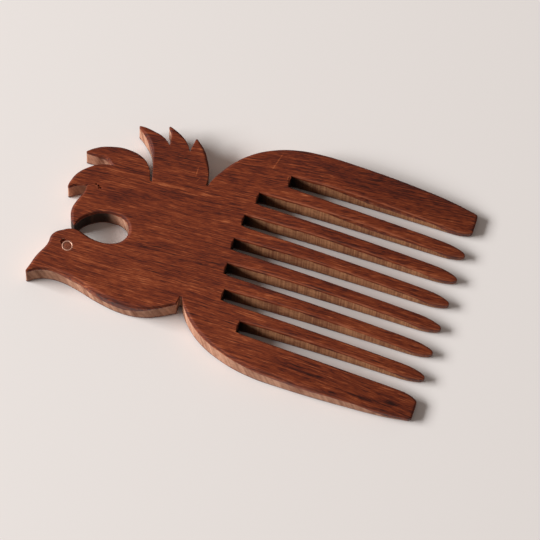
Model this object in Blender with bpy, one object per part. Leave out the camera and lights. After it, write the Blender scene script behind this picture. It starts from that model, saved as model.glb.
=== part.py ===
# Wooden comb sawn from one hardwood board, with a bird's head for a handle.
# Metres, +Z up. The comb lies on its flat back, teeth towards +X, beak towards -X.
# Its origin is the middle of its length and width, on the underside.

import bpy
import bmesh
import numpy as np
from math import cos, sin, tan, pi, radians
from mathutils import Matrix, Vector

mm = 0.001

# Board
BOARD_THICKNESS = 9.2 * mm
TIP_THICKNESS = 2.2 * mm
TIP_LIFT = 0.6 * mm
EDGE_RADIUS = 1.2 * mm
BACK_EDGE_RADIUS = 0.8 * mm
POINT_ROUNDING = 0.45 * mm
CRISP_RADIUS = 0.2 * mm

# Tooth row: slim teeth between two wide outer ones, the guards
TOOTH_LENGTH = 81.0 * mm
TOOTH_PITCH = 10.2 * mm
TOOTH_WIDTH = 4.7 * mm
TOOTH_NOSE_LENGTH = 9.0 * mm
SLOT_COUNT = 7
SLOT_ROOT_WIDTH = 4.5 * mm
# The slots are sawn a little nearer the throat side than the crest side
SLOT_OFFSET = -0.2 * mm
GUARD_WIDTH = 11.8 * mm
GUARD_DRAFT = 2.3 * mm
GUARD_NOSE_LENGTH = 7.0 * mm
GUARD_NOSE_DEPTH = 2.4 * mm
GUARD_CORNER_RADIUS = 1.4 * mm

# Handle
BIRD_LENGTH = 50.0 * mm
SHOULDER_LENGTH = 50.0 * mm
WAIST_TO_ROOT = 17.4 * mm

# Eye: a thin tube let through the board, with a wooden core
EYE_DIAMETER = 4.1 * mm
EYE_WALL = 0.45 * mm
GLUE_GAP = 0.25 * mm
EYE_RECESS = 0.2 * mm
CUT_OVERRUN = 1.0 * mm

# Slot roots step forward from the middle slot outwards, as shares of the tooth length
root_step_shares = (0.0, 0.009, 0.037, 0.149)
# Where the teeth reach their even width, and where their faces start to close
flank_share = 0.39
fall_start_share = 0.25
FALL_POWER = 1.6
# A guard's outer edge: how far along it, and how much of its draft it has drawn in there
guard_side_shares = ((0.5, 0.15), (0.8, 0.5))
# The rim's radius is at most these shares of the room on each side of the outline
rim_inside_share = 0.7
rim_outside_share = 0.35

# Tolerances, and how finely curves are cut
WELD_DISTANCE = 0.001 * mm
SAMPLE_SPACING = 1.0 * mm
SHARP_ANGLE = radians(35)
MITRE_LIMIT = 0.4
CURVE_STEPS = 4
NOSE_STEPS = 10
CORNER_STEPS = 3
RIM_SEGMENTS = 3
BACK_RIM_SEGMENTS = 2
FALL_CUTS = 9
EYE_SIDES = 32

# Outline points are shares of BIRD_LENGTH from the middle of the waist. The outline runs
# anticlockwise: "smooth" points lie on a curve, "corner" and "point" ones turn sharply,
# and a "point" is rounded a little.
upper_waist_shares = (
    (0.044, 0.418, "corner"), (0.036, 0.380, "corner"), (0.021, 0.380, "corner"),
)
tall_feather_shares = (
    (0.020, 0.424, "smooth"), (0.008, 0.490, "smooth"), (-0.034, 0.584, "smooth"),
    (-0.090, 0.666, "smooth"), (-0.166, 0.726, "point"), (-0.173, 0.668, "smooth"),
    (-0.178, 0.604, "corner"),
    (-0.216, 0.662, "smooth"), (-0.288, 0.722, "smooth"), (-0.400, 0.762, "point"),
    (-0.356, 0.701, "smooth"), (-0.334, 0.604, "corner"),
    (-0.387, 0.650, "smooth"), (-0.470, 0.682, "smooth"), (-0.550, 0.692, "smooth"),
    (-0.606, 0.684, "point"), (-0.530, 0.624, "smooth"), (-0.454, 0.543, "smooth"),
    (-0.407, 0.435, "smooth"), (-0.362, 0.280, "corner"), (-0.376, 0.284, "corner"),
)
side_feather_shares = (
    (-0.422, 0.388, "smooth"), (-0.494, 0.452, "smooth"), (-0.608, 0.480, "smooth"),
    (-0.730, 0.464, "smooth"), (-0.846, 0.412, "smooth"), (-0.906, 0.350, "point"),
    (-0.820, 0.350, "smooth"), (-0.738, 0.358, "smooth"), (-0.664, 0.316, "corner"),
    (-0.750, 0.300, "smooth"), (-0.825, 0.259, "smooth"), (-0.901, 0.179, "smooth"),
    (-0.930, 0.091, "smooth"), (-0.932, 0.034, "point"), (-0.866, 0.082, "smooth"),
    (-0.796, 0.106, "corner"),
    (-0.804, 0.038, "smooth"), (-0.832, -0.033, "smooth"), (-0.846, -0.104, "smooth"),
    (-0.834, -0.165, "smooth"), (-0.806, -0.212, "smooth"), (-0.780, -0.235, "point"),
)
bay_shares = (
    (-0.763, -0.190, "smooth"), (-0.735, -0.148, "smooth"), (-0.688, -0.106, "smooth"),
    (-0.625, -0.072, "smooth"), (-0.550, -0.058, "smooth"),
    (-0.456, -0.072, "smooth"), (-0.398, -0.140, "smooth"), (-0.412, -0.230, "smooth"),
    (-0.490, -0.283, "smooth"), (-0.600, -0.294, "smooth"),
)
head_shares = (
    (-0.760, -0.262, "smooth"), (-0.850, -0.288, "smooth"), (-0.910, -0.343, "smooth"),
    (-0.920, -0.432, "smooth"), (-0.966, -0.548, "smooth"), (-1.000, -0.706, "point"),
    (-0.926, -0.654, "smooth"), (-0.840, -0.628, "smooth"), (-0.752, -0.624, "smooth"),
    (-0.629, -0.644, "smooth"), (-0.449, -0.692, "smooth"), (-0.260, -0.718, "smooth"),
    (-0.110, -0.702, "smooth"), (0.010, -0.654, "smooth"), (0.116, -0.590, "corner"),
)
lower_waist_shares = ((0.120, -0.526, "corner"), (0.136, -0.522, "corner"))
eye_centre_shares = (-0.774, -0.406)

# Shoulder points are shares of SHOULDER_LENGTH forward from the waist and of half the width
lower_shoulder_shares = (
    (0.162, -0.635), (0.235, -0.738), (0.354, -0.844), (0.531, -0.932), (0.740, -0.986),
    (1.000, -1.000),
)
upper_shoulder_shares = (
    (1.000, 1.000), (0.760, 0.995), (0.570, 0.970), (0.390, 0.902), (0.256, 0.809),
    (0.144, 0.679), (0.074, 0.546),
)

GUARD_INNER_Y = (SLOT_COUNT * TOOTH_PITCH - TOOTH_WIDTH) / 2
HALF_WIDTH = GUARD_INNER_Y + GUARD_WIDTH
ROOT_X = WAIST_TO_ROOT
TIP_X = ROOT_X + TOOTH_LENGTH
SLOT_WIDTH = TOOTH_PITCH - TOOTH_WIDTH


def ellipse(centre_x, centre_y, reach, rise, start, end, steps):
    # Points on an ellipse between two angles, in degrees
    points = []
    for i in range(steps + 1):
        angle = radians(start + (end - start) * i / steps)
        points.append((centre_x + reach * cos(angle), centre_y + rise * sin(angle), "corner"))
    return points


def guard_end(side):
    # Blunt end of the wide outer tooth, from its outer edge to its slot for side -1
    outer = HALF_WIDTH - GUARD_DRAFT
    corner = ellipse(TIP_X - GUARD_CORNER_RADIUS, outer - GUARD_CORNER_RADIUS,
                     GUARD_CORNER_RADIUS, GUARD_CORNER_RADIUS, 90, 0, CORNER_STEPS)
    nose = ellipse(TIP_X - GUARD_NOSE_LENGTH, GUARD_INNER_Y + GUARD_NOSE_DEPTH,
                   GUARD_NOSE_LENGTH, GUARD_NOSE_DEPTH, 0, -90, NOSE_STEPS // 2)
    points = [(x, side * y, kind) for x, y, kind in corner]
    points += [(x, side * y + SLOT_OFFSET, kind) for x, y, kind in nose]
    return points if side < 0 else points[::-1]


def slot(index):
    # One slot, from its lower flank round its square root to its upper flank
    centre = index * TOOTH_PITCH + SLOT_OFFSET
    root_x = ROOT_X + root_step_shares[abs(index)] * TOOTH_LENGTH
    flank_x = ROOT_X + flank_share * TOOTH_LENGTH
    return [
        (flank_x, centre - SLOT_WIDTH / 2, "smooth"),
        (root_x, centre - SLOT_ROOT_WIDTH / 2, "corner"),
        (root_x, centre + SLOT_ROOT_WIDTH / 2, "corner"),
        (flank_x, centre + SLOT_WIDTH / 2, "smooth"),
    ]


def tooth_nose(centre):
    # Rounded end of a slim tooth
    return ellipse(TIP_X - TOOTH_NOSE_LENGTH, centre, TOOTH_NOSE_LENGTH, TOOTH_WIDTH / 2,
                   -90, 90, NOSE_STEPS)


def tooth_row():
    reach = SLOT_COUNT // 2
    points = guard_end(-1)
    for index in range(-reach, reach + 1):
        points += slot(index)
        if index < reach:
            points += tooth_nose((index + 0.5) * TOOTH_PITCH + SLOT_OFFSET)
    return points + guard_end(1)


def shoulder(shares):
    return [(x * SHOULDER_LENGTH, y * HALF_WIDTH, "smooth") for x, y in shares]


def guard_side(side):
    # Outer edge of a guard, from the shoulder to the tip for side -1
    points = []
    for along, drawn_in in guard_side_shares:
        x = SHOULDER_LENGTH + (TIP_X - SHOULDER_LENGTH) * along
        points.append((x, side * (HALF_WIDTH - GUARD_DRAFT * drawn_in), "smooth"))
    return points if side < 0 else points[::-1]


def bird(shares):
    return [(x * BIRD_LENGTH, y * BIRD_LENGTH, kind) for x, y, kind in shares]


def comb_outline():
    points = shoulder(lower_shoulder_shares) + guard_side(-1) + tooth_row()
    points += guard_side(1) + shoulder(upper_shoulder_shares) + bird(upper_waist_shares)
    points += bird(tall_feather_shares) + bird(side_feather_shares) + bird(bay_shares)
    return points + bird(head_shares) + bird(lower_waist_shares)


def make_material(name, colour, roughness, metallic=0.0):
    material = bpy.data.materials.new(name)
    material.use_nodes = True
    shader = material.node_tree.nodes["Principled BSDF"]
    shader.inputs["Base Color"].default_value = (*colour, 1.0)
    shader.inputs["Roughness"].default_value = roughness
    shader.inputs["Metallic"].default_value = metallic
    material.diffuse_color = (*colour, 1.0)
    return material


def evaluated_mesh(item):
    depsgraph = bpy.context.evaluated_depsgraph_get()
    return bpy.data.meshes.new_from_object(item.evaluated_get(depsgraph))


def round_points(points):
    # Each "point" becomes a small arc that touches both of its sides
    rounded = []
    for i, (x, y, kind) in enumerate(points):
        if kind != "point":
            rounded.append((x, y, kind))
            continue
        tip = Vector((x, y))
        before = (Vector(points[i - 1][:2]) - tip).normalized()
        after = (Vector(points[(i + 1) % len(points)][:2]) - tip).normalized()
        half_angle = before.angle(after) / 2
        centre = tip + (before + after).normalized() * POINT_ROUNDING / sin(half_angle)
        start = tip + before * POINT_ROUNDING / tan(half_angle) - centre
        turn = start.angle_signed(tip + after * POINT_ROUNDING / tan(half_angle) - centre)
        for step in range(CORNER_STEPS + 1):
            swung = start.copy()
            swung.rotate(Matrix.Rotation(-turn * step / CORNER_STEPS, 2))
            rounded.append((*(centre + swung), "corner"))
    return rounded


def traced_outline(points):
    # A flat filled curve through the points, read back as the closed row of its edge points
    curve = bpy.data.curves.new("board_outline", "CURVE")
    curve.dimensions = "2D"
    curve.fill_mode = "BOTH"
    curve.resolution_u = CURVE_STEPS
    spline = curve.splines.new("BEZIER")
    spline.bezier_points.add(len(points) - 1)
    spline.use_cyclic_u = True
    for knot, (x, y, kind) in zip(spline.bezier_points, points):
        knot.co = (x, y, 0)
        handle = "AUTO" if kind == "smooth" else "VECTOR"
        knot.handle_left_type = handle
        knot.handle_right_type = handle
    drawing = bpy.data.objects.new("board_outline", curve)
    bpy.context.scene.collection.objects.link(drawing)
    bpy.context.view_layer.update()
    sheet = bmesh.new()
    sheet.from_mesh(evaluated_mesh(drawing))
    bpy.data.objects.remove(drawing)
    bmesh.ops.remove_doubles(sheet, verts=sheet.verts, dist=WELD_DISTANCE)
    inner = [edge for edge in sheet.edges if len(edge.link_faces) > 1]
    bmesh.ops.dissolve_edges(sheet, edges=inner)
    face = max(sheet.faces, key=lambda part: part.calc_area())
    row = [Vector(vert.co[:2]) for vert in face.verts]
    if face.normal.z < 0:
        row.reverse()
    sheet.free()
    return row


def inward_steps(row):
    # At each outline point, the step into the wood that moves both its sides in by one unit
    steps = []
    for i, spot in enumerate(row):
        before = (spot - row[i - 1]).normalized()
        after = (row[(i + 1) % len(row)] - spot).normalized()
        left = Vector((-before.y - after.y, before.x + after.x)).normalized()
        steps.append(left / max(left.dot(Vector((-before.y, before.x))), MITRE_LIMIT))
    return steps


def room_beside(row, steps, side):
    # Radius of the largest circle that touches the outline at each point, on its inner side
    # for side 1 and its outer side for side -1. Samples closer than one spacing are left
    # out, because a curve's own short edges would make it look sharp.
    ends = np.array([tuple(spot) for spot in row])
    starts = np.roll(ends, 1, axis=0)
    longest = np.linalg.norm(ends - starts, axis=1).max()
    count = int(longest / SAMPLE_SPACING) + 1
    along = (np.arange(count) + 0.5)[:, None, None] / count
    samples = (starts + (ends - starts) * along).reshape(-1, 2)
    rooms = []
    for spot, step in zip(ends, steps):
        reach = samples - spot
        distance = np.linalg.norm(reach, axis=1)
        ahead = side * reach @ np.array(step.normalized())
        seen = (distance > SAMPLE_SPACING) & (ahead > WELD_DISTANCE)
        rooms.append((distance[seen] ** 2 / (2 * ahead[seen])).min(initial=HALF_WIDTH))
    return rooms


def rim_radii(row, steps, wanted):
    # The rim is rounded less at points, and in gaps too narrow for sanding
    inside = room_beside(row, steps, 1)
    outside = room_beside(row, steps, -1)
    return [max(min(wanted, a * rim_inside_share, b * rim_outside_share), CRISP_RADIUS)
            for a, b in zip(inside, outside)]


def rim_rings(row, steps, radii, face_z, outward, segments):
    # Rings of a quarter-round rim, from the wall to the flat face
    rings = []
    for k in range(segments + 1):
        angle = pi / 2 * k / segments
        ring = []
        for spot, step, radius in zip(row, steps, radii):
            place = spot + step * radius * (1 - cos(angle))
            ring.append((*place, face_z - outward * radius * (1 - sin(angle))))
        rings.append(ring)
    return rings


def lofted_board(row):
    # The rim's radius changes along the outline, so the board is lofted ring by ring
    steps = inward_steps(row)
    top = rim_rings(row, steps, rim_radii(row, steps, EDGE_RADIUS), BOARD_THICKNESS, 1,
                    RIM_SEGMENTS)
    back = rim_rings(row, steps, rim_radii(row, steps, BACK_EDGE_RADIUS), 0, -1,
                     BACK_RIM_SEGMENTS)
    edit = bmesh.new()
    rings = [[edit.verts.new(place) for place in ring] for ring in back[::-1] + top]
    for lower, upper in zip(rings, rings[1:]):
        for i in range(len(row)):
            j = (i + 1) % len(row)
            edit.faces.new((lower[i], lower[j], upper[j], upper[i]))
    edit.faces.new(rings[-1])
    edit.faces.new(rings[0][::-1])
    return edit


def thin_teeth(edit):
    # Both faces close towards the tips, the top one more, so the teeth are first cut
    # across at even steps
    start = ROOT_X + fall_start_share * TOOTH_LENGTH
    for cut in range(FALL_CUTS):
        x = start + (TIP_X - start) * cut / FALL_CUTS
        everything = edit.verts[:] + edit.edges[:] + edit.faces[:]
        bmesh.ops.bisect_plane(edit, geom=everything, dist=WELD_DISTANCE,
                               plane_co=(x, 0, 0), plane_no=(1, 0, 0))
    for vert in edit.verts:
        fallen = max(0, vert.co.x - start) / (TIP_X - start)
        thin = (BOARD_THICKNESS - TIP_THICKNESS) * fallen ** FALL_POWER
        vert.co.z *= 1 - thin / BOARD_THICKNESS
        vert.co.z += TIP_LIFT * fallen ** FALL_POWER


def smooth_shaded(mesh):
    mesh.shade_smooth()
    mesh.set_sharp_from_angle(angle=SHARP_ANGLE)


def make_body(collection, material):
    edit = lofted_board(traced_outline(round_points(comb_outline())))
    thin_teeth(edit)
    mesh = bpy.data.meshes.new("comb_body")
    edit.to_mesh(mesh)
    edit.free()
    smooth_shaded(mesh)
    body = bpy.data.objects.new("comb_body", mesh)
    body.data.materials.append(material)
    collection.objects.link(body)
    return body


def add_cylinder(name, radius, low, high, centre, collection):
    bpy.ops.mesh.primitive_cylinder_add(
        vertices=EYE_SIDES, radius=radius, depth=high - low,
        location=(*centre, (low + high) / 2))
    cylinder = bpy.context.object
    cylinder.name = name
    for owner in list(cylinder.users_collection):
        owner.objects.unlink(cylinder)
    collection.objects.link(cylinder)
    return cylinder


def cut_out(item, cutter, name):
    cutter.hide_render = True
    cutter.display_type = "WIRE"
    cut = item.modifiers.new(name, "BOOLEAN")
    cut.operation = "DIFFERENCE"
    cut.solver = "EXACT"
    cut.object = cutter


def make_eye(body, centre, parts, cutters, brass, heartwood):
    # The tube fills a bore right through the board, so both faces show an eye
    low = EYE_RECESS
    below = -CUT_OVERRUN
    above = BOARD_THICKNESS + CUT_OVERRUN
    radius = EYE_DIAMETER / 2
    core_radius = radius - EYE_WALL - GLUE_GAP
    bore = add_cylinder("eye_bore_cutter", radius + GLUE_GAP, below, above, centre, cutters)
    cut_out(body, bore, "eye_bore")
    ring = add_cylinder("eye_ring", radius, low, BOARD_THICKNESS, centre, parts)
    inside = add_cylinder("eye_tube_cutter", radius - EYE_WALL, below, above, centre, cutters)
    cut_out(ring, inside, "tube_bore")
    plug = add_cylinder("eye_plug", core_radius, low, BOARD_THICKNESS, centre, parts)
    for item, material in ((ring, brass), (plug, heartwood)):
        item.data.materials.append(material)
        smooth_shaded(item.data)
    return [bore, ring, inside, plug]


def main():
    for item in list(bpy.data.objects):
        bpy.data.objects.remove(item, do_unlink=True)
    parts = bpy.data.collections.new("wooden_comb")
    cutters = bpy.data.collections.new("cutters")
    bpy.context.scene.collection.children.link(parts)
    bpy.context.scene.collection.children.link(cutters)
    rosewood = make_material("rosewood", (0.18, 0.05, 0.025), 0.4)
    heartwood = make_material("eye_heartwood", (0.20, 0.06, 0.03), 0.45)
    brass = make_material("pale_brass", (0.72, 0.52, 0.42), 0.35, 1.0)
    body = make_body(parts, rosewood)
    eye_centre = [share * BIRD_LENGTH for share in eye_centre_shares]
    items = [body] + make_eye(body, eye_centre, parts, cutters, brass, heartwood)
    # The whole comb moves so that its origin is the middle of its underside
    xs = [vert.co.x for vert in body.data.vertices]
    ys = [vert.co.y for vert in body.data.vertices]
    for item in items:
        item.location.x -= (min(xs) + max(xs)) / 2
        item.location.y -= (min(ys) + max(ys)) / 2
    bpy.context.view_layer.update()


main()
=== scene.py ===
from math import atan, ceil, cos, pi, radians, sin

import bmesh
import bpy
import numpy as np
from mathutils import Matrix, Quaternion, Vector, noise


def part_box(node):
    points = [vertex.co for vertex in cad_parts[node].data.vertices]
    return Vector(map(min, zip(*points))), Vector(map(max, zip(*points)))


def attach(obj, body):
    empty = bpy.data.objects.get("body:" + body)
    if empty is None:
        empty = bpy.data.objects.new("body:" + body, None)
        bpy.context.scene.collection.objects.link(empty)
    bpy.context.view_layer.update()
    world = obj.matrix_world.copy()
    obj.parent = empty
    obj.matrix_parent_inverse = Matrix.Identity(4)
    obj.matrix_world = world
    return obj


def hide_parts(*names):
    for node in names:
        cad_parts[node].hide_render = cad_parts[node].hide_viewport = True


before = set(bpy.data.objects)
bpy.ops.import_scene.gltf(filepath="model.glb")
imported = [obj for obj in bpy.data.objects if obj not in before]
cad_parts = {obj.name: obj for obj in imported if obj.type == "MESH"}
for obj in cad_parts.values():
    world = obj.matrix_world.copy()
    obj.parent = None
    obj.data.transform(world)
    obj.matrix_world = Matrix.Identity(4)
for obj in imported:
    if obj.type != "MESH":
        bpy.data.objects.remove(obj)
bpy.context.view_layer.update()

# A wooden comb, sawn from one rosewood board, on a plain pale floor.
# Metres, +Z up; x runs along the grain, from the beak to the tips of the teeth.
mm = 0.001
weld = 0.002 * mm


def hexToLinear(code):
    # "#rrggbb" as linear red, green, blue and alpha, which is what shader sockets hold
    channels = [int(code[i:i + 2], 16) / 255 for i in (1, 3, 5)]
    linear = [c / 12.92 if c <= 0.04045 else ((c + 0.055) / 1.055) ** 2.4 for c in channels]
    return (*linear, 1.0)


def addNode(tree, kind, sockets, out=0, **settings):
    # Adds one node, sets its options, fills its sockets and returns one of its outputs
    node = tree.nodes.new("ShaderNode" + kind)
    for option, value in settings.items():
        setattr(node, option, value)
    for socket, source in sockets.items():
        if isinstance(source, bpy.types.NodeSocket):
            tree.links.new(source, node.inputs[socket])
        else:
            node.inputs[socket].default_value = source
    return node.outputs[out] if node.outputs else None


def newMaterial(name):
    material = bpy.data.materials.new(name)
    material.use_nodes = True
    material.node_tree.nodes.clear()
    return material, material.node_tree


def towards(view):
    # Unit vector from the comb to a camera or a lamp, from its azimuth and elevation in degrees
    turn, rise = radians(view["azimuth"]), radians(view["elevation"])
    return Vector((sin(turn) * cos(rise), -cos(turn) * cos(rise), sin(rise)))


def addPiece(name, mesh, material, slotName, *nodes):
    # A piece of the comb, in place of the frame's plainer solid
    piece = bpy.data.objects.new(name, mesh)
    bpy.context.scene.collection.objects.link(piece)
    mesh.materials.clear()
    mesh.materials.append(material)
    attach(piece, "root")
    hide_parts(*nodes)


# Camera, at the photograph's angle
photoView = {
    "target": (8.23 * mm, -1.76 * mm, 0.0),
    "azimuth": 13.27,      # degrees round from the throat side
    "elevation": 65.0,
    "roll": 5.05,
    "distance": 1.24,      # metres
    "lens": 227.4,         # mm
    "sensor": 36.0,        # mm
    "nearest": 0.05,       # metres; the camera draws nothing closer or further than these
    "furthest": 60.0,
}


def addCamera():
    back = towards(photoView)
    data = bpy.data.cameras.new("photoView")
    data.lens = photoView["lens"]
    data.sensor_width = photoView["sensor"]
    data.clip_start = photoView["nearest"]
    data.clip_end = photoView["furthest"]
    camera = bpy.data.objects.new("photoView", data)
    bpy.context.scene.collection.objects.link(camera)
    camera.location = Vector(photoView["target"]) + back * photoView["distance"]
    camera.rotation_mode = "QUATERNION"
    roll = Quaternion((0.0, 0.0, 1.0), radians(photoView["roll"]))
    camera.rotation_quaternion = (-back).to_track_quat("-Z", "Y") @ roll
    bpy.context.scene.camera = camera


addCamera()
print("camera placed")

# The board: its outline comes from the frame, and is cut again with finer rims
boardLow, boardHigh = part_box("comb_body")
board = {
    "thickness": boardHigh.z,
    "topRim": 1.2 * mm,
    "backRim": 0.8 * mm,
    "crispRim": 0.2 * mm,        # in corners that sandpaper does not reach
    "rimInside": 0.7,            # of the room on the wood's side
    "rimOutside": 0.35,          # of the room on the open side
    "toothLength": 81.0 * mm,
    "fallStart": 0.25,           # along the teeth, where their faces start to close
    "fallPower": 1.6,
    "tipThickness": 2.2 * mm,
    "tipLift": 0.6 * mm,
    "cutLevel": 1.6 * mm,        # every wall, thick or thin, passes through this height
    "columnStep": 0.4 * mm,
    "sharpTurn": radians(50),    # the outline keeps its corners that turn more than this
    "mitreLimit": 0.4,           # holds back the inner ring's points in sharp corners
    "wallRows": 5,
    "topSteps": 5,
    "backSteps": 3,
    "flatMargin": 1.2,           # the flat face starts this many rim radii in
    "foldLimit": 0.1,            # least share of its length that a piece of the inner ring keeps
    "foldShrink": 0.85,          # how much a rim that would fold is narrowed at a time
    "gridX": 2.0 * mm,
    "gridY": 4.0 * mm,
    "crease": radians(40),       # edges sharper than this are not shaded smooth
}
slots = {
    "pitch": 10.2 * mm,
    "offset": -0.2 * mm,
    "left": -9.0 * mm,           # no slot starts further left than this
    "halfSpan": 36.0 * mm,       # the guards' outer edges lie beyond this
    "paintedShade": 7.0,               # mm, how fast the painted shade fades from each slot's root
    "paintedEdgeLight": 0.3,               # painted highlight on every edge of a tooth
    "paintedEdgeLightThroat": 0.9,           # and how much more of it where the edge faces the throat side
    "curvedBelow": 0.35,         # share of slot wall below which the saw's marks lean
    "blend": (0.4, 0.6),         # share of slot wall over which its colour comes in
}
# A soft spot on the walls is at its full strength over this part of its reach from the middle
spotCore = 1 / 3
# Painted shade on the sawn walls, mostly in the bay, under the second feather and in a notch: x,
# y, reach in mm, and how dark
paintedWallShade = [(-66.0, 3.6, 5.0, 0.45), (-44.5, -7.5, 6.0, 0.6), (-16.5, -35.0, 5.0, 0.5),
              (-61.0, -8.0, 7.0, 1.0), (-56.0, -4.0, 7.0, 0.9),
              (-64.5, -12.0, 6.0, 1.0), (-71.0, -35.0, 6.0, 0.2)]
# The faces' oil went this far down over every edge in mm, and ran further down in places: x, y,
# reach in mm, and how much further in mm
oilDepth = 1.0
oilRuns = [(-42.0, -38.0, 18.0, 3.4), (-58.0, -33.0, 8.0, 1.8), (30.0, -45.0, 22.0, 1.9),
           (70.0, -40.0, 16.0, 5.5), (42.0, 33.0, 24.0, 2.8), (72.0, 34.0, 14.0, 7.0),
           (74.0, -17.0, 12.0, 5.5), (74.0, -7.0, 12.0, 5.5), (74.0, 4.0, 12.0, 5.5),
           (74.0, 14.0, 12.0, 5.5), (74.0, 24.0, 12.0, 5.5), (74.0, -26.0, 12.0, 5.5),
           (-46.5, 27.0, 5.0, 4.5), (-60.0, 16.0, 5.0, 2.0), (-22.0, -37.0, 5.0, 1.8)]
sawMarks = {
    "pitch": 1.0,                # mm; real teeth marks are about half that, drawn coarser to show
    "depth": 0.05 * mm,
    "contrast": 0.9,
    "fade": 1 / 3,               # part of the wall's height over which they fade out at each rim
    "fine": 0.55,                # width of the fine and broad lines, in pitches
    "broad": 2.2,
    "apart": 0.3,                # smaller sets the slots' lines further apart from the outline's
    "lean": 0.35,                # on the outline's walls, mm along for each mm up
}
# What the board's surface knows of itself: mm into the sawn walls from the oiled faces, rim,
# mm along the cut, straight slot wall, painted shade, and painted highlight on the teeth's edges
boardLayers = ("sawn", "rim", "alongCut", "straight", "paintedShade", "paintedEdgeLight")


def levelCut(node, height):
    # The walls stand upright, so one level cut gives the board's outline
    cut = bmesh.new()
    cut.from_mesh(node.data)
    bmesh.ops.remove_doubles(cut, verts=cut.verts, dist=weld)
    everything = cut.verts[:] + cut.edges[:] + cut.faces[:]
    bmesh.ops.bisect_plane(cut, geom=everything, dist=weld / 10, plane_co=(0, 0, height),
                           plane_no=(0, 0, 1), clear_inner=True, clear_outer=True)
    cut.verts.index_update()
    seen = set()
    loops = []
    for first in cut.verts:
        if first.index in seen:
            continue
        loop = []
        ahead = [first]
        while ahead:
            vert = ahead[0]
            seen.add(vert.index)
            loop.append(vert.co.xy)
            beside = [edge.other_vert(vert) for edge in vert.link_edges]
            ahead = [other for other in beside if other.index not in seen]
        loops.append(loop)
    cut.free()
    return max(loops, key=len)


def tidyLoop(points):
    # Anticlockwise, from the point nearest the beak, without the points on straight runs
    turns = [a.cross(b) for a, b in zip(points, points[1:] + points[:1])]
    if sum(turns) < 0:
        points = points[::-1]
    first = min(range(len(points)), key=lambda i: points[i].x)
    points = points[first:] + points[:first]
    kept = []
    for i, spot in enumerate(points):
        before = kept[-1] if kept else points[-1]
        along = points[(i + 1) % len(points)] - before
        if abs(along.cross(spot - before)) / along.length > weld / 2:
            kept.append(spot)
    return kept


def finelyTraced(points):
    # A smooth curve through the outline's points, which keeps its sharp corners
    count = len(points)
    sides = [points[(i + 1) % count] - points[i] for i in range(count)]
    sharp = [sides[i - 1].angle(sides[i]) > board["sharpTurn"] for i in range(count)]
    heading = [(sides[i - 1] + sides[i]).normalized() for i in range(count)]
    row = []
    for i in range(count):
        j = (i + 1) % count
        length = sides[i].length
        leave = sides[i] if sharp[i] else heading[i] * length
        arrive = sides[i] if sharp[j] else heading[j] * length
        steps = ceil(length / board["columnStep"])
        for k in range(steps):
            t = k / steps
            place = points[i] * (2 * t ** 3 - 3 * t ** 2 + 1) + leave * (t ** 3 - 2 * t ** 2 + t)
            place += points[j] * (3 * t ** 2 - 2 * t ** 3) + arrive * (t ** 3 - t ** 2)
            row.append(place)
    row = np.array([tuple(place) for place in row])
    return np.clip(row, tuple(boardLow.xy), tuple(boardHigh.xy))


def inwardSteps(row):
    # At each point, the step into the wood that moves both its sides in by one unit
    before = row - np.roll(row, 1, axis=0)
    after = np.roll(row, -1, axis=0) - row
    before /= np.linalg.norm(before, axis=1)[:, None]
    after /= np.linalg.norm(after, axis=1)[:, None]
    left = np.stack([-before[:, 1] - after[:, 1], before[:, 0] + after[:, 0]], axis=1)
    left /= np.linalg.norm(left, axis=1)[:, None]
    facing = left[:, 1] * before[:, 0] - left[:, 0] * before[:, 1]
    return left / np.maximum(facing, board["mitreLimit"])[:, None]


def roomBeside(row, steps, side, nearest=1.0 * mm, most=1.0):
    # Radius of the largest circle that touches the outline at each point, on one side of it:
    # points closer than nearest are skipped, and with nothing in the way it is most, in metres
    rooms = []
    for spot, step in zip(row, steps):
        reach = row - spot
        distance = np.linalg.norm(reach, axis=1)
        ahead = side * reach @ (step / np.linalg.norm(step))
        seen = (distance > nearest) & (ahead > weld)
        rooms.append((distance[seen] ** 2 / (2 * ahead[seen])).min(initial=most))
    return np.array(rooms)


def rimRadii(row, steps, inside, outside, wanted):
    # As wide as wanted where there is room, and smaller where the inner ring would fold over
    limit = np.minimum(inside * board["rimInside"], outside * board["rimOutside"])
    radii = np.maximum(np.minimum(limit, wanted), board["crispRim"])
    radii = (np.roll(radii, 1) + radii + np.roll(radii, -1)) / 3
    sides = np.roll(row, -1, axis=0) - row
    folded = np.ones(len(row), dtype=bool)
    while folded.any():
        places = row + steps * (radii * board["flatMargin"])[:, None]
        moved = np.roll(places, -1, axis=0) - places
        folded = (moved * sides).sum(axis=1) < board["foldLimit"] * (sides ** 2).sum(axis=1)
        radii = np.where(folded | np.roll(folded, 1), radii * board["foldShrink"], radii)
    return radii


def boardRings(row, steps, alongCut):
    # Each ring: how far in and how high it lies, and how much of it is rim
    inside, outside = roomBeside(row, steps, 1), roomBeside(row, steps, -1)
    top = rimRadii(row, steps, inside, outside, board["topRim"])
    back = rimRadii(row, steps, inside, outside, board["backRim"])
    height = board["thickness"]
    flat = np.zeros(len(row))
    rings = [(back * board["flatMargin"], flat, 0.0)]
    for k in range(board["backSteps"], 0, -1):
        angle = pi / 2 * k / board["backSteps"]
        rings.append((back * (1 - cos(angle)), back * (1 - sin(angle)), sin(2 * angle)))
    chatter = np.array([noise.noise(Vector((s / sawMarks["pitch"], 0, 0))) for s in alongCut])
    groove = sawMarks["depth"] * np.clip(0.5 + sawMarks["contrast"] * chatter, 0, 1)
    rows = board["wallRows"]
    for k in range(rows + 1):
        share = k / rows
        fade = min(1.0, min(share, 1 - share) / sawMarks["fade"])
        rings.append((groove * fade, back + (height - top - back) * share, 0.0))
    for k in range(1, board["topSteps"] + 1):
        angle = pi / 2 * k / board["topSteps"]
        rings.append((top * (1 - cos(angle)), height - top * (1 - sin(angle)), sin(2 * angle)))
    rings.append((top * board["flatMargin"], flat + height, 0.0))
    return rings


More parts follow.
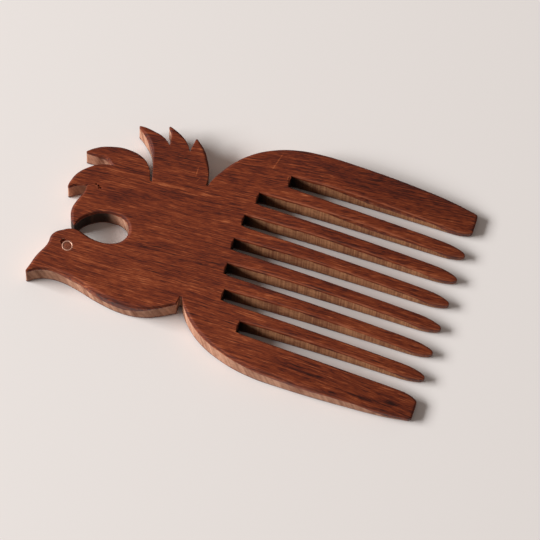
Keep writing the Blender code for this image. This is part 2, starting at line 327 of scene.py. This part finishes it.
def spotStrength(row, spots):
    # Strongest of some soft spots at each outline point, which end at their reach
    strongest = np.zeros(len(row))
    for x, y, reach, strength in spots:
        away = np.hypot(row[:, 0] / mm - x, row[:, 1] / mm - y) / reach
        strongest = np.maximum(strongest, strength * np.clip((1 - away) / (1 - spotCore), 0, 1))
    return strongest


def slotWalls(row):
    # 1 on the straight-sawn walls between the teeth, and how much painted shade they get near a
    # root
    inSlot = (row[:, 0] > slots["left"]) & (abs(row[:, 1]) < slots["halfSpan"])
    index = np.round((row[:, 1] - slots["offset"]) / slots["pitch"])
    paintedShade = np.zeros(len(row))
    for number in set(index[inSlot]):
        these = inSlot & (index == number)
        fromRoot = (row[these, 0] - row[these, 0].min()) / mm
        paintedShade[these] = np.exp(-fromRoot / slots["paintedShade"])
    return inSlot.astype(float), paintedShade


def loftedBoard(row):
    steps = inwardSteps(row)
    lengths = np.linalg.norm(row - np.roll(row, 1, axis=0), axis=1)
    alongCut = np.cumsum(lengths) / mm
    # Painted shade: darkest at each slot's root and fading along the slot, and on some walls in
    # the bay, under a feather and in a notch
    straight, paintedShade = slotWalls(row)
    paintedShade = np.maximum(paintedShade, spotStrength(row, paintedWallShade))
    oilReachAndRimShade = oilDepth + spotStrength(row, oilRuns)
    # Painted highlight on the teeth's edges, most where they face the throat side; the other
    # edges get the rims' painted shade
    paintedEdgeLight = straight * np.clip(slots["paintedEdgeLight"] + slots["paintedEdgeLightThroat"] * steps[:, 1], 0, 1)
    edit = bmesh.new()
    layers = {name: edit.verts.layers.float.new(name) for name in boardLayers}
    rings = []
    for inset, level, rim in boardRings(row, steps, alongCut):
        ring = []
        sawn = np.minimum((board["thickness"] - level) / mm - oilReachAndRimShade, level / mm - oilDepth)
        places = row + steps * inset[:, None]
        for i, (x, y) in enumerate(places):
            vert = edit.verts.new((x, y, level[i]))
            values = (sawn[i], rim, alongCut[i], straight[i], paintedShade[i], paintedEdgeLight[i])
            for name, value in zip(boardLayers, values):
                vert[layers[name]] = value
            ring.append(vert)
        rings.append(ring)
    for lower, upper in zip(rings, rings[1:]):
        for i in range(-1, len(row) - 1):
            edit.faces.new((lower[i], lower[i + 1], upper[i + 1], upper[i]))
    flats = [edit.faces.new(rings[-1]), edit.faces.new(rings[0][::-1])]
    return edit, flats


def cutFlats(edit, flats):
    # Both flat faces are cut into a grid, so that they can bend and take dents
    geometry = list({part: None for face in flats for part in (*face.verts, *face.edges, face)})
    for axis, step in ((0, board["gridX"]), (1, board["gridY"])):
        span = boardHigh[axis] - boardLow[axis]
        for k in range(1, int(span / step) + 1):
            place = [0.0, 0.0, 0.0]
            place[axis] = boardLow[axis] + step * k
            normal = [0.0, 0.0, 0.0]
            normal[axis] = 1.0
            cut = bmesh.ops.bisect_plane(edit, geom=geometry, dist=weld, plane_co=place,
                                         plane_no=normal)
            geometry = cut["geom"]


def thinTeeth(edit):
    # Both faces close towards the tips, the top one more
    start = boardHigh.x - board["toothLength"] * (1 - board["fallStart"])
    for vert in edit.verts:
        fallen = max(0.0, vert.co.x - start) / (boardHigh.x - start)
        curve = fallen ** board["fallPower"]
        thin = (board["thickness"] - board["tipThickness"]) * curve
        vert.co.z *= 1 - thin / board["thickness"]
        vert.co.z += board["tipLift"] * curve


def meshFrom(edit, name):
    mesh = bpy.data.meshes.new(name)
    edit.to_mesh(mesh)
    edit.free()
    return mesh


# The eye: a thin tube let through the board, with a wooden core
eyeLow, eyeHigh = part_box("eye_ring")
eye = {
    "x": (eyeLow.x + eyeHigh.x) / 2,
    "y": (eyeLow.y + eyeHigh.y) / 2,
    "low": eyeLow.z,
    "high": eyeHigh.z,
    "radius": (eyeHigh.x - eyeLow.x) / 2,
    "wall": 0.5 * mm,
    "gap": 0.03 * mm,            # glue line between bore, tube and core
    "lip": 0.12 * mm,
    "lipSteps": 6,
    "wobble": 0.01,              # how uneven the tube's round is
    "coreSunk": 0.08 * mm,       # below the tube's lip
    "coreCrown": 0.06 * mm,      # how far its middle stands above its edge
    "sides": 72,
    "crease": radians(50),
}
# Splinters and dents in the upper face: x, y, reach along x, reach along y, depth, in mm. The
# middle of each cutter is lifted above the face, so that no edge of the cutter lies in the face.
chipLift = 0.03 * mm
chips = [
    (-65.3, -19.3, 0.8, 1.0, 1.2), (-64.6, -18.5, 0.8, 0.6, 1.0),
    (-61.2, 6.5, 0.6, 0.35, 0.6), (-60.2, 6.1, 0.5, 0.4, 0.7), (-59.2, 5.6, 0.6, 0.35, 0.6),
    (-59.9, 5.3, 0.45, 0.3, 0.5),
    (4.9, 31.5, 0.7, 0.7, 0.2), (4.8, 30.5, 0.5, 0.6, 0.2),
]


def cutterMesh():
    # One mesh of separate cutters: a pin through the board for the eye's bore, and a flat ball
    # for each chip
    edit = bmesh.new()
    sawnLayer = edit.verts.layers.float.new("sawn")
    bore = eye["radius"] + eye["gap"]
    middle = Matrix.Translation((eye["x"], eye["y"], board["thickness"] / 2))
    bmesh.ops.create_cone(edit, cap_ends=True, segments=eye["sides"], radius1=bore,
                          radius2=bore, depth=board["thickness"] * 2, matrix=middle)
    for x, y, reachX, reachY, depth in chips:
        place = Matrix.Translation((x * mm, y * mm, board["thickness"] + chipLift))
        size = Matrix.Diagonal((reachX * mm, reachY * mm, depth * mm, 1))
        bmesh.ops.create_icosphere(edit, subdivisions=3, radius=1.0, matrix=place @ size)
    for vert in edit.verts:
        vert[sawnLayer] = 1.0
    return meshFrom(edit, "cutters")


def withCuts(mesh):
    # The same mesh with the bore and the chips cut out
    wood = bpy.data.objects.new("uncutBoard", mesh)
    cutter = bpy.data.objects.new("cutter", cutterMesh())
    for item in (wood, cutter):
        bpy.context.scene.collection.objects.link(item)
    cut = wood.modifiers.new("cuts", "BOOLEAN")
    cut.operation = "DIFFERENCE"
    cut.solver = "EXACT"
    cut.use_self = True
    cut.object = cutter
    depsgraph = bpy.context.evaluated_depsgraph_get()
    result = bpy.data.meshes.new_from_object(wood.evaluated_get(depsgraph))
    for item in (wood, cutter):
        bpy.data.objects.remove(item)
    return result


def closeHoles(mesh):
    # The cut can drop a sliver of a face thinner than a hair, so open loops are filled
    edit = bmesh.new()
    edit.from_mesh(mesh)
    bmesh.ops.holes_fill(edit, edges=edit.edges, sides=0)
    edit.to_mesh(mesh)
    edit.free()


def makeBoard():
    outline = tidyLoop(levelCut(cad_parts["comb_body"], board["cutLevel"]))
    row = finelyTraced(outline)
    edit, flats = loftedBoard(row)
    cutFlats(edit, flats)
    thinTeeth(edit)
    mesh = withCuts(meshFrom(edit, "combBoard"))
    closeHoles(mesh)
    mesh.shade_smooth()
    mesh.set_sharp_from_angle(angle=board["crease"])
    print("board cut:", len(outline), "outline points,", len(mesh.polygons), "faces")
    return mesh


# Indian rosewood (sheesham), planed, sanded and rubbed with oil: a satin red-brown face with
# darker and more orange streaks along x, open pores, and paler dry walls where it was sawn, with
# painted shade near the slot roots, in the bay and on the rims, and painted highlights on the
# teeth's edges
rosewood = {
    "tones": ((0.0, "#2c0e09"), (0.25, "#501c10"), (0.5, "#702d14"), (0.75, "#883f20"),
              (1.0, "#ab5f39")),
    # size of the figure in mm, along the grain and across it, and its strength
    "dash": (3.4, 0.3, 1.3),     # real fibres are finer, drawn wide enough to show
    "fibre": (20.0, 0.36, 1.35),
    "streak": (36.0, 1.0, 0.6),
    "band": (90.0, 8.0, 0.35),
    "cloud": (9.0, 4.5, 0.45),
    "pore": (2.4, 0.4),
    "poreLimits": (0.62, 0.72),  # its noise is wood below the first and open pore above the last
    "poreTone": -0.18,
    "blotch": (7.0, 7.0),        # patches on the walls, in mm
    # how much each pattern counts on the slots' walls, the outline's walls, the line where the
    # oil ends, and in the surface's relief
    "slotMix": {"sawLines": 1.1, "dash": 0.6, "blotch": 0.5},
    "wallMix": {"sawLines": 0.3, "broadLines": 1.0, "dash": 0.4, "blotch": 0.5},
    "oilMix": {"dash": 0.8, "blotch": 0.8, "sawn": 1.0},
    "reliefMix": {"dash": 1.0, "pore": -1.5, "sawLines": 1.5},
    "wallLimits": (0.75, 1.45),  # darkest and palest dry wood, on the mixes' scale
    "oilLimits": (0.7, 1.3),     # from oiled to dry
    "paintedRimLimits": (0.55, 1.3),   # from the face's colour to the rims' painted shade and highlight
    "paintedRimWeight": 0.5,              # how much being rim counts for the painted shade and highlight
    "sawnDark": "#8b5942",
    "sawnLight": "#d3a084",
    "slotDark": "#8b553a",
    "slotLight": "#ca9064",
    # painted shade near the slot roots and on some walls
    "paintedShadeTone": "#2a1a12",
    # painted highlight on the teeth's edges
    "paintedEdgeLight": "#9c5a3c",
    # painted shade on the rims
    "oilReachAndRimShade": "#43180c",
    "faceRoughness": (0.42, 0.55),
    "sawnRoughness": 0.8,
    "grainDepth": 0.012 * mm,
    "ior": 1.45,
    "specular": 0.35,            # oil that has soaked in shines less than a film of varnish
}
# The grain climbs by 0 at the lower guard and by 8 degrees at the upper one, and sways: mm along
# and across, and how far
grainFan = {"slope": 0.07, "spread": 0.0016, "sways": ((60.0, 30.0, 4.0), (14.0, 6.0, 1.0))}
# Single marks on the faces: x, y in mm, degrees off the grain, half length and half width in
# mm, and how much lighter they are. The pale one at 4.2, 31.3 is a painted highlight on a chip at
# a slot's root, and the dark one at -64.5, -8.5 darkens the lobe's left edge. The other last ones
# are scratches across the grain.
marks = [
    (-36.0, -11.8, 0, 12.0, 0.8, -0.3), (-22.0, -12.4, 0, 9.0, 0.7, -0.2),
    (-10.0, -9.6, 3, 10.0, 0.7, -0.18), (-38.0, -17.0, 5, 10.0, 1.1, -0.15),
    (-49.0, 16.0, -3, 11.0, 1.0, -0.3), (-44.0, 9.6, 8, 9.0, 1.2, -0.15),
    (-14.0, 13.4, 0, 9.0, 1.0, -0.2), (-4.0, 37.0, 0, 9.0, 2.0, -0.12),
    (37.0, -39.8, 0, 5.0, 0.8, -0.45), (35.0, -41.8, 0, 3.5, 0.6, -0.4),
    (55.5, -41.4, 2, 6.5, 0.8, -0.45), (65.5, -39.6, 3, 4.0, 0.9, -0.55),
    (44.0, -43.6, 0, 1.8, 0.45, -0.5), (48.5, -42.6, 0, 2.0, 0.4, -0.45),
    (56.5, -46.5, 0, 1.2, 0.7, -0.3), (26.0, -38.4, 0, 7.0, 0.7, -0.3),
    (68.0, -7.0, 0, 4.0, 0.5, -0.3), (-43.0, -35.2, -4, 9.0, 0.9, -0.3),
    (-54.0, 14.2, 0, 12.0, 0.9, 0.4), (-38.0, 14.0, 2, 13.0, 0.8, 0.45),
    (-21.0, 15.0, 4, 10.0, 0.6, 0.3), (-23.0, -1.0, 0, 12.0, 0.5, 0.3),
    (-46.0, 9.0, 0, 8.0, 0.5, 0.25), (-62.8, 4.7, -15, 2.2, 1.2, 0.15),
    (46.0, 42.0, -2, 48.0, 8.0, -0.22), (5.0, 36.0, 0, 18.0, 10.0, -0.08),
    (-40.0, -27.0, 0, 26.0, 9.0, 0.08), (76.0, 0.0, 0, 26.0, 38.0, 0.12),
    (-64.5, -8.5, 70, 4.0, 2.2, -0.25), (-46.0, 27.0, 0, 26.0, 9.0, -0.14),
    (-1.4, 37.0, 69, 4.6, 0.3, 0.5), (4.2, 31.3, 0, 0.5, 0.8, 0.6),
    (-28.1, 23.6, 86, 2.8, 0.22, 0.45), (-26.8, 20.0, 60, 2.0, 0.18, 0.35),
]
markEdge = {
    "figure": (5.0, 1.2),        # mm along and across, makes the marks' edges ragged
    "ragged": 1.2,
    "depth": 20.0,               # mm, a mark goes right through the board
    "end": 1.9,                  # in half lengths and widths from its middle, with the raggedness
    "full": 0.7,
}
figureHeight = 5.0               # how far down a figure reaches, in times its width


def placeInMm(tree):
    place = addNode(tree, "TexCoord", {}, "Object")
    return addNode(tree, "VectorMath", {0: place, "Scale": 1 / mm}, operation="SCALE")


def grain(tree, place, figure, detail, seed):
    # Stretched noise whose figure has the given size in mm along and across the grain. It stands
    # upright in the board, so the sloping teeth show streaks as long as those of the flat face.
    along, across = figure[:2]
    moved = addNode(tree, "Mapping", {
        "Vector": place, "Location": (seed, seed, seed),
        "Scale": (1 / along, 1 / across, 1 / (across * figureHeight))})
    return addNode(tree, "TexNoise", {"Vector": moved, "Scale": 1.0, "Detail": detail,
                                      "Roughness": 0.6})


def addedUp(tree, parts):
    # Sum of each part times its strength
    total = 0.0
    for value, strength in parts:
        total = addNode(tree, "Math", {0: value, 1: strength, 2: total},
                        operation="MULTIPLY_ADD")
    return total


def mixed(tree, patterns, weights):
    # Sum of the named patterns, each times its weight
    return addedUp(tree, [(patterns[name], weight) for name, weight in weights.items()])


def layered(tree, colour, layers):
    # Each layer's colour comes in softly as its value goes from low to high
    for value, low, high, code in layers:
        share = addNode(tree, "MapRange", {"Value": value, "From Min": low, "From Max": high},
                        interpolation_type="SMOOTHSTEP")
        over = hexToLinear(code) if isinstance(code, str) else code
        colour = addNode(tree, "Mix", {0: share, 6: colour, 7: over}, 2, data_type="RGBA")
    return colour


def grainSlope(y):
    # How far the grain climbs for each mm of x: it fans out towards the crest
    return grainFan["slope"] + grainFan["spread"] * y


def woodPlace(tree):
    # Place in mm, and the same bent so that its x follows the grain as the tree grew
    place = placeInMm(tree)
    split = addNode(tree, "SeparateXYZ", {"Vector": place}).node.outputs
    slope = addedUp(tree, [(split["Y"], grainFan["spread"]), (grainFan["slope"], 1.0)])
    sways = [(grain(tree, place, sway, detail=1.0, seed=4.0 + 5.0 * k), sway[2])
             for k, sway in enumerate(grainFan["sways"])]
    wander = addedUp(tree, sways)
    climb = addNode(tree, "Math", {0: slope, 1: split["X"]}, operation="MULTIPLY")
    sway = addNode(tree, "Math", {0: wander, 1: climb}, operation="SUBTRACT")
    sway = addNode(tree, "CombineXYZ", {"Y": sway})
    return place, addNode(tree, "VectorMath", {0: place, 1: sway}, operation="ADD")


def addMarks(tree, place, tone):
    # Each single mark is a long soft spot that lightens or darkens the tone
    uneven = grain(tree, place, markEdge["figure"], detail=2.0, seed=21.0)
    ragged = addedUp(tree, [(uneven, markEdge["ragged"])])
    for x, y, turn, halfLength, halfWidth, lighter in marks:
        angle = radians(turn) + atan(grainSlope(y))
        centred = addNode(tree, "Mapping", {
            "Vector": place, "Location": (x, y, 0.0), "Rotation": (0.0, 0.0, angle),
            "Scale": (halfLength, halfWidth, markEdge["depth"])}, vector_type="TEXTURE")
        away = addNode(tree, "VectorMath", {0: centred}, "Value", operation="LENGTH")
        away = addNode(tree, "Math", {0: away, 1: ragged}, operation="ADD")
        spot = addNode(tree, "MapRange", {"Value": away, "From Min": markEdge["end"],
                                          "From Max": markEdge["full"]},
                       interpolation_type="SMOOTHSTEP")
        tone = addedUp(tree, [(spot, lighter), (tone, 1.0)])
    return tone


def woodTone(tree, place, along):
    # From 0, darkest, to 1, most orange: every figure swings to both sides of the middle
    parts = []
    for k, figure in enumerate(("dash", "fibre", "streak", "band", "cloud")):
        size = rosewood[figure]
        value = grain(tree, along, size, detail=2.0, seed=7.0 + 13.0 * k)
        parts.append((addNode(tree, "Math", {0: value, 1: 0.5}, operation="SUBTRACT"), size[2]))
    tone = addNode(tree, "Math", {0: addedUp(tree, parts), 1: 0.5}, operation="ADD")
    return addMarks(tree, place, tone)


def makeRosewood():
    material, tree = newMaterial("rosewoodSandedOiled")
    sawn, rim, alongCut, straight, paintedShade, paintedEdgeLight = [
        addNode(tree, "Attribute", {}, "Fac", attribute_name=name) for name in boardLayers]
    place, along = woodPlace(tree)
    closed, opened = rosewood["poreLimits"]
    pore = grain(tree, along, rosewood["pore"], detail=1.0, seed=53.0)
    pore = addNode(tree, "MapRange", {"Value": pore, "From Min": closed, "From Max": opened})
    tone = woodTone(tree, place, along)
    tone = addedUp(tree, [(pore, rosewood["poreTone"]), (tone, 1.0)])
    face = addNode(tree, "ValToRGB", {"Fac": tone})
    steps = face.node.color_ramp.elements
    while len(steps) < len(rosewood["tones"]):
        steps.new(0.5)
    for step, (position, code) in zip(steps, rosewood["tones"]):
        step.position = position
        step.color = hexToLinear(code)

    # Walls: pale dry wood with the saw's marks, upright in the slots, leaning on the outline, and
    # darkened with painted shade near the slot roots and in the bay
    height = addNode(tree, "SeparateXYZ", {"Vector": place}, "Z")
    curved = addNode(tree, "Math", {0: straight, 1: slots["curvedBelow"]},
                     operation="LESS_THAN")
    leaning = addNode(tree, "Math", {0: curved, 1: height}, operation="MULTIPLY")
    leaning = addedUp(tree, [(leaning, sawMarks["lean"]), (alongCut, 1.0)])
    cutPlace = addNode(tree, "CombineXYZ", {"X": leaning, "Y": straight})
    patterns = {"sawn": sawn, "pore": pore}
    for name, width, detail, seed in (("sawLines", "fine", 2.0, 3.0),
                                      ("broadLines", "broad", 1.0, 33.0)):
        figure = (sawMarks["pitch"] * sawMarks[width], sawMarks["apart"])
        patterns[name] = grain(tree, cutPlace, figure, detail, seed)
    dash = patterns["dash"] = grain(tree, along, rosewood["dash"], detail=2.0, seed=71.0)
    blotch = patterns["blotch"] = grain(tree, place, rosewood["blotch"], detail=2.0, seed=5.0)
    slotTone = mixed(tree, patterns, rosewood["slotMix"])
    wallTone = mixed(tree, patterns, rosewood["wallMix"])
    slot = layered(tree, hexToLinear(rosewood["slotDark"]),
                   [(slotTone, *rosewood["wallLimits"], rosewood["slotLight"])])
    wall = layered(tree, hexToLinear(rosewood["sawnDark"]),
                   [(wallTone, *rosewood["wallLimits"], rosewood["sawnLight"]),
                    (straight, *slots["blend"], slot), (paintedShade, 0.0, 1.0, rosewood["paintedShadeTone"])])
    # The oil ends in a ragged line below the edge; in ragged patches the rims get painted shade,
    # and the teeth's edges on the throat side a painted highlight
    oilLine = mixed(tree, patterns, rosewood["oilMix"])
    edge = layered(tree, hexToLinear(rosewood["oilReachAndRimShade"]), [(paintedEdgeLight, 0.0, 1.0, rosewood["paintedEdgeLight"])])
    paintedRim = addedUp(tree, [(blotch, 1.0), (rim, rosewood["paintedRimWeight"])])
    paintedRim = addNode(tree, "Math", {0: paintedRim, 1: rim}, operation="MULTIPLY")
    colour = layered(tree, face, [(oilLine, *rosewood["oilLimits"], wall),
                                  (paintedRim, *rosewood["paintedRimLimits"], edge)])

    smooth, rough = rosewood["faceRoughness"]
    gloss = addedUp(tree, [(dash, rough - smooth), (smooth, 1.0)])
    dry = addNode(tree, "Math", {0: sawn, 1: rim}, operation="MAXIMUM")
    gloss = addNode(tree, "Mix", {0: dry, 2: gloss, 3: rosewood["sawnRoughness"]})
    relief = mixed(tree, patterns, rosewood["reliefMix"])
    bump = addNode(tree, "Bump", {"Height": relief, "Strength": 1.0,
                                  "Distance": rosewood["grainDepth"]})
    surface = addNode(tree, "BsdfPrincipled", {"Base Color": colour, "Roughness": gloss,
                                               "Normal": bump, "IOR": rosewood["ior"],
                                               "Specular IOR Level": rosewood["specular"]})
    addNode(tree, "OutputMaterial", {"Surface": surface})
    return material


def turned(name, profile, wobble):
    # A ring or pin turned round the eye's middle, from (radius, height) pairs
    edit = bmesh.new()
    rings = []
    for k in range(eye["sides"]):
        angle = 2 * pi * k / eye["sides"]
        bend = 1 + wobble * noise.noise(Vector((cos(angle), sin(angle), 3.0)))
        rings.append([edit.verts.new((eye["x"] + r * bend * cos(angle),
                                      eye["y"] + r * bend * sin(angle), z))
                      for r, z in profile])
    for k in range(eye["sides"]):
        before, after = rings[k - 1], rings[k]
        for i in range(len(profile)):
            j = (i + 1) % len(profile)
            edit.faces.new((before[i], after[i], after[j], before[j]))
    bmesh.ops.remove_doubles(edit, verts=edit.verts, dist=weld)
    bmesh.ops.recalc_face_normals(edit, faces=edit.faces)
    mesh = meshFrom(edit, name)
    mesh.shade_smooth()
    mesh.set_sharp_from_angle(angle=eye["crease"])
    return mesh


def tubeProfile():
    outer, inner, lip = eye["radius"], eye["radius"] - eye["wall"], eye["lip"]
    middle = (outer + inner) / 2
    profile = [(inner, eye["low"] + lip), (inner + lip, eye["low"]), (outer - lip, eye["low"]),
               (outer, eye["low"] + lip)]
    half = (outer - inner) / 2
    for k in range(eye["lipSteps"] + 1):
        angle = pi * k / eye["lipSteps"]
        profile.append((middle + half * cos(angle), eye["high"] - lip * (1 - sin(angle))))
    return profile


def coreProfile():
    radius = eye["radius"] - eye["wall"] - eye["gap"]
    low, high = eye["low"], eye["high"] - eye["coreSunk"]
    profile = [(0.0, low), (radius - eye["lip"], low), (radius, low + eye["lip"]),
               (radius, high - eye["lip"])]
    for share in (0.92, 0.75, 0.5, 0.25, 0.0):
        profile.append((radius * share, high - eye["coreCrown"] * share ** 2))
    return profile


# Thin brass tube, filed flush and tarnished: a pale pinkish line round the eye
eyeBrass = {"bright": "#f2c2aa", "dull": "#b9826a", "roughness": (0.4, 0.65),
            "figure": (0.6, 0.6), "limits": (0.35, 0.6)}
# Rosewood dowel cut across the grain: fine dark pores, a little lighter than the face
eyeWood = {"dark": "#4f2417", "light": "#86452a", "roughness": 0.5, "ior": 1.45,
           "figure": (0.35, 0.35), "limits": (0.35, 0.6)}


def makeBrass():
    material, tree = newMaterial("paleBrassFiled")
    stain = grain(tree, placeInMm(tree), eyeBrass["figure"], detail=2.0, seed=17.0)
    colour = layered(tree, hexToLinear(eyeBrass["dull"]),
                     [(stain, *eyeBrass["limits"], eyeBrass["bright"])])
    smooth, rough = eyeBrass["roughness"]
    gloss = addedUp(tree, [(stain, rough - smooth), (smooth, 1.0)])
    surface = addNode(tree, "BsdfPrincipled", {"Base Color": colour, "Metallic": 1.0,
                                               "Roughness": gloss})
    addNode(tree, "OutputMaterial", {"Surface": surface})
    return material


def makeEndGrain():
    material, tree = newMaterial("rosewoodEndGrain")
    speck = grain(tree, placeInMm(tree), eyeWood["figure"], detail=2.0, seed=23.0)
    colour = layered(tree, hexToLinear(eyeWood["dark"]),
                     [(speck, *eyeWood["limits"], eyeWood["light"])])
    surface = addNode(tree, "BsdfPrincipled", {"Base Color": colour, "IOR": eyeWood["ior"],
                                               "Roughness": eyeWood["roughness"]})
    addNode(tree, "OutputMaterial", {"Surface": surface})
    return material


addPiece("comb_board", makeBoard(), makeRosewood(), "body_wood", "comb_body")
print("board made")
addPiece("eye_tube", turned("eyeTube", tubeProfile(), eye["wobble"]), makeBrass(), "eye_brass",
         "eye_ring")
addPiece("eye_core", turned("eyeCore", coreProfile(), 0.0), makeEndGrain(), "eye_wood",
         "eye_plug")
print("eye set")

# Floor and soft studio light
floorFinish = {"size": 40.0, "colour": "#ebe6e3", "bounce": "#b5aea8", "roughness": 0.9}
keyLamp = {"azimuth": -75.0, "elevation": 26.0, "distance": 4.0, "width": 2.4, "height": 1.3,
           "power": 276.0}
sky = {"colour": "#fff1e8", "strength": 0.22}


def addFloor():
    # The floor looks pale to the eye and in gloss, and throws less light back on the walls
    material, tree = newMaterial("plainPaleFloor")
    seen = 0.0
    for ray in ("Is Camera Ray", "Is Glossy Ray", "Is Transmission Ray"):
        seen = addNode(tree, "Math", {0: seen, 1: addNode(tree, "LightPath", {}, ray)},
                       operation="MAXIMUM")
    colour = layered(tree, hexToLinear(floorFinish["bounce"]),
                     [(seen, 0.0, 1.0, floorFinish["colour"])])
    surface = addNode(tree, "BsdfPrincipled", {"Base Color": colour,
                                               "Roughness": floorFinish["roughness"]})
    addNode(tree, "OutputMaterial", {"Surface": surface})
    bpy.ops.mesh.primitive_plane_add(size=floorFinish["size"], location=(0, 0, 0))
    floor = bpy.context.object
    floor.name = "floor"
    floor.data.materials.append(material)


def addLamp(name, lamp):
    data = bpy.data.lights.new(name, "AREA")
    data.shape = "RECTANGLE"
    data.size, data.size_y = lamp["width"], lamp["height"]
    data.energy = lamp["power"]
    back = towards(lamp)
    item = bpy.data.objects.new(name, data)
    bpy.context.scene.collection.objects.link(item)
    item.location = back * lamp["distance"]
    item.rotation_mode = "QUATERNION"
    item.rotation_quaternion = (-back).to_track_quat("-Z", "Y")


def addSky():
    world = bpy.data.worlds.new("studio")
    bpy.context.scene.world = world
    world.use_nodes = True
    tree = world.node_tree
    tree.nodes.clear()
    glow = addNode(tree, "Background", {"Color": hexToLinear(sky["colour"]),
                                        "Strength": sky["strength"]})
    addNode(tree, "OutputWorld", {"Surface": glow})


addFloor()
addLamp("keyLamp", keyLamp)
addSky()
bpy.context.scene.view_settings.view_transform = "Standard"
print("floor and light set")
